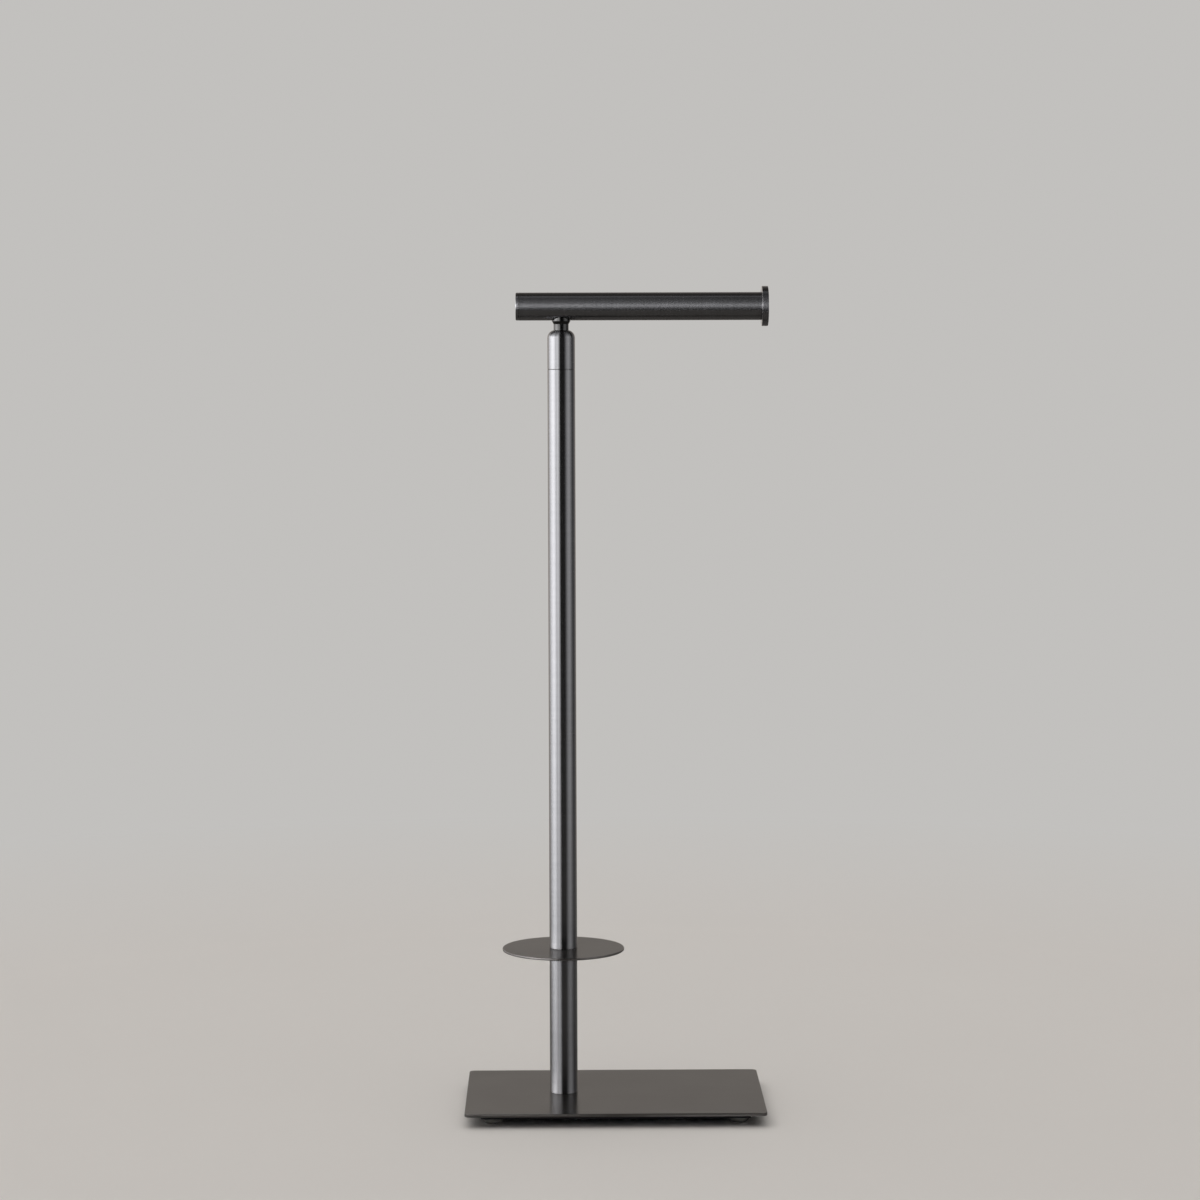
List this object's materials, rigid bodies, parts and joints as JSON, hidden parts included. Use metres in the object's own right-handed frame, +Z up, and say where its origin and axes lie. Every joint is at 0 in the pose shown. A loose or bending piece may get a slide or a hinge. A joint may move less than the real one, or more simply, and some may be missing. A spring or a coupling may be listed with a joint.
{
  "type": "toilet paper holder",
  "caption": "Free-standing toilet paper holder: weighted rectangular base, slim round post with a disc tray for spare rolls, and a horizontal tubular arm that swivels on a lift-off head.",
  "frame": {"origin": "on the floor, under the middle of the overall bounding box", "axes": "+Z up along the post, +X along the arm towards its end flange, +Y to the back"},
  "size_m": [0.2728, 0.176, 0.7419],
  "materials": {
    "gunmetal_plate": "steel with a dark grey coating, fine brushing along the long side",
    "gunmetal_tube": "steel with a dark grey coating, fine brushing round the tube",
    "gunmetal_tray": "steel with a dark grey coating, fine straight brushing",
    "gunmetal_head": "steel with a dark grey coating, fine brushing round the cap",
    "gunmetal_flange": "steel with a dark grey coating, fine brushing round the rim and turned rings on the face",
    "polished_neck": "steel with a dark grey coating over a polished surface",
    "ballast_paint": "black satin paint, slight orange peel",
    "foot_rubber": "clear soft rubber, slightly cloudy",
    "ring_rubber": "matt black rubber",
    "zinc_steel": "bright zinc plate",
    "plain_steel": "machined steel",
    "bearing_nylon": "natural nylon"
  },
  "bodies": {
    "stand": {"base_plate": "gunmetal_plate", "ballast_plate": "ballast_paint", "ballast_screw_1": "zinc_steel", "ballast_screw_2": "zinc_steel", "ballast_screw_3": "zinc_steel", "ballast_screw_4": "zinc_steel", "foot_1": "foot_rubber", "foot_2": "foot_rubber", "foot_3": "foot_rubber", "foot_4": "foot_rubber", "post_bolt": "zinc_steel", "post_bolt_washer": "zinc_steel", "lower_tube": "gunmetal_tube", "lower_tube_foot_insert": "plain_steel", "lower_tube_head_insert": "plain_steel", "spare_roll_tray": "gunmetal_tray", "tray_stud": "zinc_steel", "upper_tube": "gunmetal_tube", "upper_tube_foot_insert": "plain_steel", "socket_bush": "bearing_nylon"},
    "head": {"head_cap": "gunmetal_head", "spigot_ring_1": "ring_rubber", "spigot_ring_2": "ring_rubber", "neck_bush": "bearing_nylon", "friction_washer": "bearing_nylon"},
    "arm": {"neck_pin": "polished_neck", "retaining_washer": "zinc_steel", "retaining_screw": "zinc_steel", "saddle_nut": "plain_steel", "arm_tube": "gunmetal_tube", "arm_end_cap": "gunmetal_flange", "end_flange": "gunmetal_flange"}
  },
  "joints": [
    {"name": "head_lift", "type": "slide", "parent": "stand", "child": "head", "axis": [0, 0, 1], "range_m": [0, 0.045]},
    {"name": "arm_swivel", "type": "hinge", "parent": "head", "child": "arm", "pos_m": [-0.0484, 0, 0.7], "axis": [0, 0, 1], "continuous": true}
  ]
}
